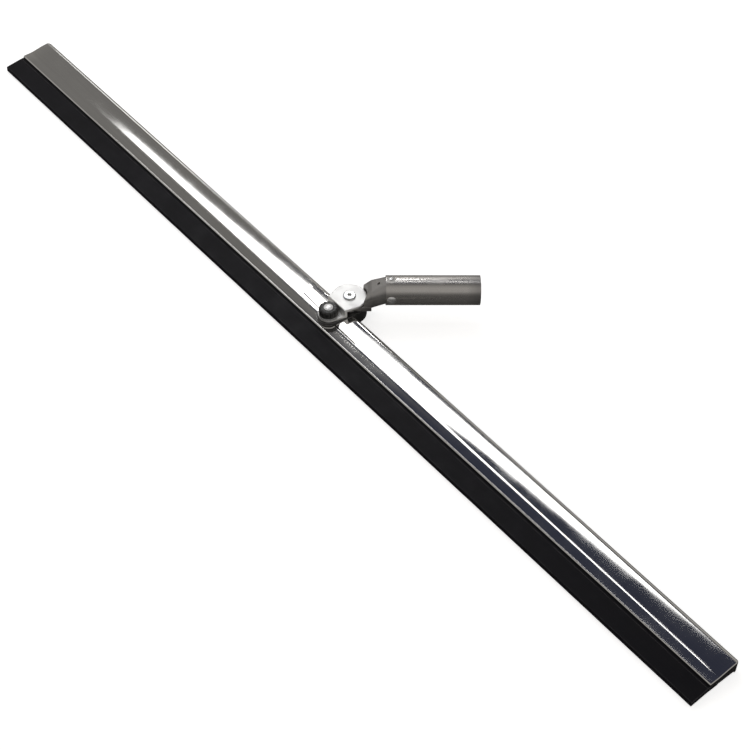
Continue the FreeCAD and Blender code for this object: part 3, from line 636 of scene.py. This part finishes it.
# %% [markdown]
# ## The sprung washer
# Under the cap a thin washer keeps the swivel from rattling. It is bent into three waves. In
# the solid model it is a flat ring that fills the same height, and here the lathe's Waves
# input bends a thinner ring between the same two planes.
# %% Turn the wave washer
wave_low, wave_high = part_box("wave_washer")
WAVE_RADIUS = (wave_high.x - wave_low.x) / 2 / MM
WAVE_SPACE = (wave_high.z - wave_low.z) / MM
WAVE_SHEET = 0.35
WAVE_HOLE = 3.1
wave_middle = WAVE_SPACE / 2
wave_section = [
    (WAVE_HOLE, wave_middle - WAVE_SHEET / 2, 0.0),
    (WAVE_RADIUS, wave_middle - WAVE_SHEET / 2, 0.0),
    (WAVE_RADIUS, wave_middle + WAVE_SHEET / 2, 0.0),
    (WAVE_HOLE, wave_middle + WAVE_SHEET / 2, 0.0),
    (WAVE_HOLE, wave_middle - WAVE_SHEET / 2, 0.0)]
wave_mesh = run_tree(lathe, section_mesh(wave_section), {
    "Steps": 72, "Waves": 3, "Wave Height": (WAVE_SPACE - WAVE_SHEET) / 2 * MM,
    "Material": zinc_plate})
place(wave_mesh, Vector((PIVOT.x, PIVOT.y, wave_low.z)))
print("open edges:", tidy_mesh(wave_mesh))
sprung_washer = new_piece("sprung_washer", wave_mesh)
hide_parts("wave_washer")
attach(sprung_washer, "bar")
print("washer space, mm:", round(WAVE_SPACE, 2))

# %% [markdown]
# ## Rivets in the neck
# Three low heads hold the tube on the neck: one on top and one on each side. They are the
# same head, so one is turned, and a second tree sets copies of it at the three places. Each
# place is a point with the direction that its head faces.
# %% A tree that sets heads on their places
rivet_tree, given, result = geometry_tree("set_rivet_heads", {
    "Head": ("Object", None), "Material": ("Material", None)})
head = add(rivet_tree, "GeometryNodeObjectInfo", {
    "Object": given["Head"]}, transform_space="ORIGINAL")
facing = add(rivet_tree, "GeometryNodeInputNamedAttribute", {
    "Name": "facing"}, data_type="FLOAT_VECTOR")
tilted = add(rivet_tree, "FunctionNodeAlignRotationToVector", {
    "Vector": facing.outputs["Attribute"]}, axis="Z")
heads = add(rivet_tree, "GeometryNodeInstanceOnPoints", {
    "Points": given["Geometry"], "Instance": head.outputs["Geometry"],
    "Rotation": tilted.outputs[0]})
end_with_material(rivet_tree, heads.outputs[0], given["Material"], result)
print("tree", rivet_tree.name)

# %% Turn one head and set three
TUBE_RADIUS = 12.7
HEAD_RADIUS = 4.1
HEAD_HEIGHT = 1.9
HEAD_SINK = 1.3
HEAD_BED = 0.33
RIVET_AT = 35.0
TUBE_AXIS_Z = 28.0
head_ball = (HEAD_RADIUS ** 2 + HEAD_HEIGHT ** 2) / (2 * HEAD_HEIGHT)
head_edge = math.degrees(math.acos(HEAD_RADIUS / head_ball))
head_section = (
    [(0.0, -HEAD_SINK, 0.0), (HEAD_RADIUS, -HEAD_SINK, 0.0), (HEAD_RADIUS, -0.02, 0.0)]
    + arc(0.0, HEAD_HEIGHT - head_ball, head_ball, head_edge, 76, 8)[1:]
    + [(0.9, HEAD_HEIGHT - 0.12, 0.0), (0.55, HEAD_HEIGHT - 0.34, 0.0),
       (0.0, HEAD_HEIGHT - 0.4, 0.0)]
)
head_mesh = run_tree(lathe, section_mesh(head_section), {"Steps": 48, "Material": rivet_metal})
tidy_mesh(head_mesh)
head_pattern = new_piece("head_pattern", head_mesh)
along = Vector((math.sin(HANDLE_TURN), math.cos(HANDLE_TURN), 0.0))
across = Vector((math.cos(HANDLE_TURN), -math.sin(HANDLE_TURN), 0.0))
up = Vector((0.0, 0.0, 1.0))
rivet_centre = Vector((PIVOT.x, PIVOT.y, 0.0)) + along * RIVET_AT * MM + up * TUBE_AXIS_Z * MM
places = bpy.data.meshes.new("rivet_places")
directions = [up, across, -across]
places.from_pydata(
    [rivet_centre + way * (TUBE_RADIUS - HEAD_BED) * MM for way in directions], [], [])
facing_data = places.attributes.new("facing", "FLOAT_VECTOR", "POINT")
for i, way in enumerate(directions):
    facing_data.data[i].vector = way
rivet_mesh = run_tree(rivet_tree, places, {"Head": head_pattern, "Material": rivet_metal})
bpy.data.objects.remove(head_pattern)
print("open edges:", tidy_mesh(rivet_mesh))
rivet_heads = new_piece("rivet_heads", rivet_mesh)
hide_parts("top_rivet", "cross_rivet")
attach(rivet_heads, "handle")
print("rivet heads:", len(directions))

# %% [markdown]
# ## The row of clamp screws
# Eight countersunk screws pull the lower jaw up against the rubber. They are seen when the
# tool is turned over. One screw is turned on the lathe, and the tree cuts its cross with two
# crossed blocks, then sets it in two rows, each screw stopped at its own angle, as screws are.
# The angles are random, with a fixed seed so that they are the same on every run.
# %% A tree for the screws
screw_tree, given, result = geometry_tree("row_of_screws", {
    "Each Side": ("Int", 4), "First": ("Float", 0.055), "Last": ("Float", 0.4),
    "Drive Width": ("Float", 0.0011), "Drive Reach": ("Float", 0.0048),
    "Drive Depth": ("Float", 0.0028), "Seed": ("Int", 11), "Material": ("Material", None)})


def drive_block(long_axis, short_axis):
    sizes = [given["Drive Reach"], given["Drive Width"]]
    size = add(screw_tree, "ShaderNodeCombineXYZ", {
        long_axis: sizes[0], short_axis: sizes[1], 2: given["Drive Depth"]})
    return add(screw_tree, "GeometryNodeMeshCube", {"Size": size.outputs[0]}).outputs["Mesh"]


cut = add(screw_tree, "GeometryNodeMeshBoolean", {
    "Mesh 1": given["Geometry"]}, operation="DIFFERENCE")
screw_tree.links.new(drive_block(0, 1), cut.inputs["Mesh 2"])
second_cut = add(screw_tree, "GeometryNodeMeshBoolean", {
    "Mesh 1": cut.outputs["Mesh"]}, operation="DIFFERENCE")
screw_tree.links.new(drive_block(1, 0), second_cut.inputs["Mesh 2"])
gaps = calc(screw_tree, "SUBTRACT", given["Each Side"], 1.0)
reach = calc(screw_tree, "SUBTRACT", given["Last"], given["First"])
pitch = calc(screw_tree, "DIVIDE", reach, gaps)
joined = screw_tree.nodes.new("GeometryNodeJoinGeometry")
for side in (-1.0, 1.0):
    start = add(screw_tree, "ShaderNodeCombineXYZ", {
        0: calc(screw_tree, "MULTIPLY", given["First"], side)})
    step = add(screw_tree, "ShaderNodeCombineXYZ", {0: calc(screw_tree, "MULTIPLY", pitch, side)})
    line = add(screw_tree, "GeometryNodeMeshLine", {
        "Count": given["Each Side"], "Start Location": start.outputs[0], "Offset": step.outputs[0]})
    screw_tree.links.new(line.outputs[0], joined.inputs[0])
stop_angle = add(screw_tree, "FunctionNodeRandomValue", {"Seed": given["Seed"]}, data_type="FLOAT")
# a float Random Value keeps its limits in its third and fourth sockets
stop_angle.inputs[2].default_value = 0.0
stop_angle.inputs[3].default_value = math.pi / 2
stopped = add(screw_tree, "ShaderNodeCombineXYZ", {2: stop_angle.outputs[1]})
screws = add(screw_tree, "GeometryNodeInstanceOnPoints", {
    "Points": joined.outputs[0], "Instance": second_cut.outputs["Mesh"],
    "Rotation": stopped.outputs[0]})
end_with_material(screw_tree, screws.outputs[0], given["Material"], result)
print("tree", screw_tree.name)

# %% Turn one screw and set the row
screw_low, screw_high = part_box("clamp_screws")
SCREW_LENGTH = (screw_high.z - screw_low.z) / MM
SHANK_RADIUS = 2.0
FLAT_HEAD_RADIUS = 4.0
FIRST_SCREW = 55.0
LAST_SCREW = 400.0
screw_section = [
    (0.0, 0.0, 0.0), (FLAT_HEAD_RADIUS - 0.15, 0.0, 0.0), (FLAT_HEAD_RADIUS, 0.12, 0.0),
    (SHANK_RADIUS, FLAT_HEAD_RADIUS - SHANK_RADIUS, 0.0), (SHANK_RADIUS, SCREW_LENGTH - 0.5, 0.0),
    (SHANK_RADIUS - 0.5, SCREW_LENGTH, 0.0), (0.0, SCREW_LENGTH, 0.0)]
screw_mesh = run_tree(lathe, section_mesh(screw_section), {"Steps": 40, "Material": zinc_plate})
tidy_mesh(screw_mesh)
row_mesh = run_tree(screw_tree, screw_mesh, {
    "Each Side": 4, "First": FIRST_SCREW * MM, "Last": LAST_SCREW * MM, "Seed": 11,
    "Material": zinc_plate})
screw_y = (screw_low.y + screw_high.y) / 2
place(row_mesh, Vector((0.0, screw_y, screw_low.z)))
print("open edges:", tidy_mesh(row_mesh))
screw_row = new_piece("screw_row", row_mesh)
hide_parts("clamp_screws")
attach(screw_row, "bar")
print("screw row from", round(screw_low.x, 3), "to", round(screw_high.x, 3))

# %% [markdown]
# ## The channel's crowned top
# A flat strip would mirror the lamp as a straight band. The pressed channel is not flat: a soft
# bend leads into its sloping top, and the top is crowned by a fraction of a millimetre, so the
# band turns into a long wedge. The slope across the bar is written as a profile, and a formula
# adds it up into heights. A merged copy of the solid piece is cut into narrow strips along the
# bar, narrowest at the bend, and into short bays across it. Each point is then lifted by the
# difference between that profile and the plain slope.
# %% Crown a copy of the channel
channel_low, channel_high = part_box("channel")
CREASE_Y = channel_low.y + 10.3 * MM
REAR_Y = channel_high.y
PLAIN_SLOPE = 0.121
FRONT_SLOPE = 0.174
REAR_SLOPE = 0.056
BEND_START = CREASE_Y - 2.4 * MM
BEND_END = CREASE_Y + 2.0 * MM
STRIP = 0.4 * MM
NARROW_CUTS = 12
WIDE_CUTS = 13
WIDE = 3
BAY = 40.0 * MM
BAYS_EACH_SIDE = 11
ABOVE_THE_LIP = 4.0 * MM


def lift_at(y):
    """Height of the crowned profile above the plain slope, behind the start of the bend."""
    bend = BEND_END - BEND_START
    if y < BEND_END:
        rise = FRONT_SLOPE * (y - BEND_START) ** 2 / (2 * bend)
    else:
        behind, depth = y - BEND_END, REAR_Y - BEND_END
        rise = FRONT_SLOPE * (bend / 2 + behind)
        rise += (REAR_SLOPE - FRONT_SLOPE) * behind ** 2 / (2 * depth)
    return rise - PLAIN_SLOPE * max(0.0, y - CREASE_Y)


def crowned_copy(original):
    mesh = original.data.copy()
    mesh.transform(original.matrix_world)
    work = bmesh.new()
    work.from_mesh(mesh)
    bmesh.ops.remove_doubles(work, verts=work.verts, dist=0.000001)
    # flat areas become single faces, so that the strips have no stray corners in them
    bmesh.ops.dissolve_limit(work, angle_limit=0.0005, verts=work.verts, edges=work.edges)
    levels = [BEND_START + i * STRIP for i in range(NARROW_CUTS)]
    levels += [levels[-1] + i * WIDE * STRIP for i in range(1, WIDE_CUTS + 1)]
    cuts = [((0.0, y, 0.0), (0.0, 1.0, 0.0)) for y in levels]
    # cuts across the bar keep the strips' faces short, which keeps their shading even
    bays = range(-BAYS_EACH_SIDE, BAYS_EACH_SIDE + 1)
    cuts += [((i * BAY, 0.0, 0.0), (1.0, 0.0, 0.0)) for i in bays]
    for point, direction in cuts:
        everything = work.verts[:] + work.edges[:] + work.faces[:]
        bmesh.ops.bisect_plane(
            work, geom=everything, dist=0.0000005, plane_co=point, plane_no=direction)
    for vertex in work.verts:
        if vertex.co.y > BEND_START and vertex.co.z > channel_low.z + ABOVE_THE_LIP:
            vertex.co.z += lift_at(vertex.co.y)
    work.to_mesh(mesh)
    work.free()
    return mesh


skin_mesh = crowned_copy(nodes["channel"])
skin_mesh.materials.clear()
skin_mesh.materials.append(channel_steel)
print("open edges:", tidy_mesh(skin_mesh))
channel_skin = new_piece("channel_skin", skin_mesh)
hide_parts("channel")
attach(channel_skin, "bar")
print("channel faces:", len(skin_mesh.polygons), "crown, mm:", round(lift_at(0.004) / MM, 2))

# %% [markdown]
# ## The rubber blade
# The rubber is one long extrusion, so its section is drawn once and swept along the bar. The
# section keeps the solid model's shape, with two things added that only show up close: tiny
# chamfers where the wiping edges are cut, and a shallow moulding groove along the top, just in
# front of the steel lip. Stations along the bar let the edge wander by a few hundredths of a
# millimetre, as cut rubber does.
# %% Sweep the rubber
blade_low, blade_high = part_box("blade")
lip_y = channel_low.y
GRIP_TOP = blade_high.z
THICKNESS = 5.0 * MM
TIP_DROP = 2.0 * MM
CUT = 0.3 * MM
STATIONS = 240
STEPS_ACROSS = 14
GROOVE_BEHIND = 2.2 * MM
GROOVE_HALF = 0.25 * MM
GROOVE_DEPTH = 0.18 * MM
WANDER = 0.05 * MM
bend_y = lip_y - 1.0 * MM


def top_of_rubber(y):
    """Level where the steel grips it, then falling with a soft bend to the wiping edge."""
    if y >= bend_y:
        return GRIP_TOP
    reach = (bend_y - y) / (bend_y - blade_low.y)
    soft = 0.12
    fall = reach - soft / 2 if reach > soft else reach * reach / (2 * soft)
    return GRIP_TOP - TIP_DROP * fall / (1 - soft / 2)


def blade_section():
    front, back = blade_low.y, blade_high.y
    inward = [back, lip_y + 1.5 * MM, bend_y]
    inward += [
        bend_y + (front + CUT - bend_y) * i / STEPS_ACROSS for i in range(1, STEPS_ACROSS + 1)]
    groove_y = lip_y - GROOVE_BEHIND
    groove = [groove_y - GROOVE_HALF, groove_y, groove_y + GROOVE_HALF]
    top = []
    for y in sorted(inward + groove, reverse=True):
        dip = GROOVE_DEPTH if y == groove_y else 0.0
        top.append((y, top_of_rubber(y) - dip))
    tip_top = top_of_rubber(front)
    tip = [(front, tip_top - CUT), (front, tip_top - THICKNESS + CUT)]
    bottom = [(y, top_of_rubber(y) - THICKNESS) for y in sorted(inward)]
    return top + tip + bottom


def sweep_blade():
    section = blade_section()
    work = bmesh.new()
    rings = []
    for i in range(STATIONS + 1):
        x = blade_low.x + (blade_high.x - blade_low.x) * i / STATIONS
        wander = WANDER * (math.sin(x * 61.0) + 0.6 * math.sin(x * 143.0 + 1.0))
        ring = []
        for y, z in section:
            loose = max(0.0, (lip_y - y) / (lip_y - blade_low.y))
            inside_y = max(y + wander * loose, blade_low.y)
            ring.append(work.verts.new((x, inside_y, z)))
        rings.append(ring)
    count = len(section)
    for near, far in zip(rings, rings[1:]):
        for k in range(count):
            after = (k + 1) % count
            work.faces.new((near[k], near[after], far[after], far[k]))
    work.faces.new(rings[0])
    work.faces.new(list(reversed(rings[-1])))
    mesh = bpy.data.meshes.new("rubber_blade")
    work.to_mesh(mesh)
    work.free()
    return mesh


rubber_mesh = sweep_blade()
rubber_mesh.materials.append(blade_rubber)
print("open edges:", tidy_mesh(rubber_mesh))
rubber_blade = new_piece("rubber_blade", rubber_mesh)
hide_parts("blade")
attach(rubber_blade, "bar")
print("rubber faces:", len(rubber_mesh.polygons))

# %% [markdown]
# ## Floor and light
# The floor is a pale sheet that the tool lies on. Polished steel shows its surroundings, so
# the light matters more than the colour of the metal. The surroundings are a soft gradient with
# a dark spot high up, a little behind the tool and to its left, and they are brighter towards
# the walls. Three softboxes light the tool, all behind it and to its left: a large one, a
# smaller one beyond it, and a tiny bright one low down. The large one's front edge runs
# slantwise, so that its reflection ends in a long wedge on the bar. Each softbox is a sheet
# that glows and that the camera does not see.
# %% Floor
FLOOR_HALF = 6.0
floor_mesh = bpy.data.meshes.new("floor")
floor_mesh.from_pydata(
    [(x * FLOOR_HALF, y * FLOOR_HALF, -0.0004) for x, y in ((-1, -1), (1, -1), (1, 1), (-1, 1))],
    [], [(0, 1, 2, 3)])
floor = new_piece("floor", floor_mesh)
floor_paper, tree, shader, vector = start_material("floor_paper")
fibres = add(tree, "ShaderNodeTexNoise", {"Vector": vector, "Scale": 900.0, "Detail": 3.0})
paper = mix_colour(tree, fibres.outputs[0], grey(0.86), grey(0.9))
# polished metal would mirror the pale sheet as a light edge all round, so it is shown a dim one
seen_directly = tree.nodes.new("ShaderNodeLightPath").outputs["Is Camera Ray"]
shown = mix_colour(tree, seen_directly, grey(0.22), paper)
tree.links.new(shown, shader.inputs["Base Color"])
tree.links.new(paper, shader.inputs["Emission Color"])
tree.links.new(calc(tree, "MULTIPLY", seen_directly, 0.78), shader.inputs["Emission Strength"])
shader.inputs["Roughness"].default_value = 0.9
floor_mesh.materials.append(floor_paper)
print("floor:", 2 * FLOOR_HALF, "m wide")

# %% Surroundings
world = bpy.data.worlds.new("studio")
world.use_nodes = True
bpy.context.scene.world = world
sky = world.node_tree
DARK_SPOT = Vector((-0.29, 0.3, 0.91))
direction = sky.nodes.new("ShaderNodeTexCoord").outputs["Generated"]
toward = add(sky, "ShaderNodeVectorMath", {0: direction, 1: DARK_SPOT}, operation="DOT_PRODUCT")
share = spread(sky, toward.outputs["Value"], -1.0, 1.0, 0.0, 1.0)
ramp = add(sky, "ShaderNodeValToRGB", {0: share})
WARM = (1.0, 0.97, 0.93)
COOL = (0.8, 0.88, 1.35)
levels = [
    (-0.3, 0.12, WARM), (-0.05, 0.3, WARM), (0.2, 0.52, WARM), (0.5, 0.52, WARM),
    (0.78, 0.42, WARM), (0.87, 0.24, WARM), (0.945, 0.2, WARM), (0.968, 0.055, COOL),
    (1.0, 0.045, COOL)]
for i, (at, value, tint) in enumerate(levels):
    stop = ramp.color_ramp.elements[i] if i < 2 else ramp.color_ramp.elements.new((at + 1) / 2)
    stop.position = (at + 1) / 2
    stop.color = grey(value, tint)
sky.links.new(ramp.outputs["Color"], sky.nodes["Background"].inputs["Color"])
sky.nodes["Background"].inputs["Strength"].default_value = 1.0
print("sky levels:", len(levels))

# %% Softbox
def softbox(name, corners, strength):
    mesh = bpy.data.meshes.new(name)
    mesh.from_pydata(corners, [], [tuple(range(len(corners)))])
    lamp = new_piece(name, mesh)
    cloth = bpy.data.materials.new(name + "_cloth")
    cloth.use_nodes = True
    glow = cloth.node_tree.nodes["Principled BSDF"]
    glow.inputs["Base Color"].default_value = (0.0, 0.0, 0.0, 1.0)
    glow.inputs["Emission Color"].default_value = (1.0, 1.0, 1.0, 1.0)
    glow.inputs["Emission Strength"].default_value = strength
    mesh.materials.append(cloth)
    lamp.visible_camera = False
    return lamp


KEY_HEIGHT = 1.5
SMALL_HEIGHT = 0.4
front_edge = [
    (0.02, 0.68), (-0.1, 0.6), (-0.26, 0.51), (-0.43, 0.44), (-0.58, 0.38), (-0.72, 0.25),
    (-0.9, 0.1), (-1.62, 0.1)]
rear_edge = [
    (-1.62, 0.38), (-1.4, 0.4), (-1.22, 0.455), (-1.05, 0.53), (-0.78, 0.55), (-0.42, 0.6),
    (-0.1, 0.68), (0.02, 0.7)]
key = softbox("key_softbox", [(x, y, KEY_HEIGHT) for x, y in front_edge + rear_edge], 3.4)
rear_corners = [(-1.95, 1.5), (-2.7, 1.5), (-2.7, 2.3), (-1.95, 2.3)]
small_corners = [(-0.24, 0.245), (-0.32, 0.245), (-0.32, 0.325), (-0.24, 0.325)]
rear = softbox("rear_softbox", [(x, y, KEY_HEIGHT) for x, y in rear_corners], 3.0)
small = softbox("small_softbox", [(x, y, SMALL_HEIGHT) for x, y in small_corners], 16.0)
print("lamps:", key.name, rear.name, small.name)

# %% [markdown]
# ## Camera
# The camera looks down across the bar from its right-hand front, from about a metre and a half
# away, with a lens that is long enough to keep the far end from shrinking. It is placed by the
# point it looks at, its compass angle, its height angle and a small tilt of the head.
# %% Camera
LOOK_AT = Vector((57.2, 1.85, -16.9)) * MM
COMPASS = math.radians(48.74)
ABOVE = math.radians(48.0)
TILT = math.radians(2.17)
DISTANCE = 1563.25 * MM
LENS = 88.92192
right = Vector((math.cos(COMPASS), math.sin(COMPASS), 0.0))
forward = Vector((
    -math.sin(COMPASS) * math.cos(ABOVE), math.cos(COMPASS) * math.cos(ABOVE), -math.sin(ABOVE)))
above = right.cross(forward)
tilted_right = math.cos(TILT) * right + math.sin(TILT) * above
tilted_up = math.cos(TILT) * above - math.sin(TILT) * right
camera_data = bpy.data.cameras.new("camera")
camera_data.sensor_width = 36.0
camera_data.lens = LENS
camera = bpy.data.objects.new("camera", camera_data)
aim = Matrix((tilted_right, tilted_up, -forward)).transposed().to_4x4()
camera.matrix_world = Matrix.Translation(LOOK_AT - DISTANCE * forward) @ aim
bpy.context.scene.collection.objects.link(camera)
bpy.context.scene.camera = camera
bpy.context.scene.view_settings.view_transform = "Standard"
print("lens, mm:", round(camera_data.lens, 1))
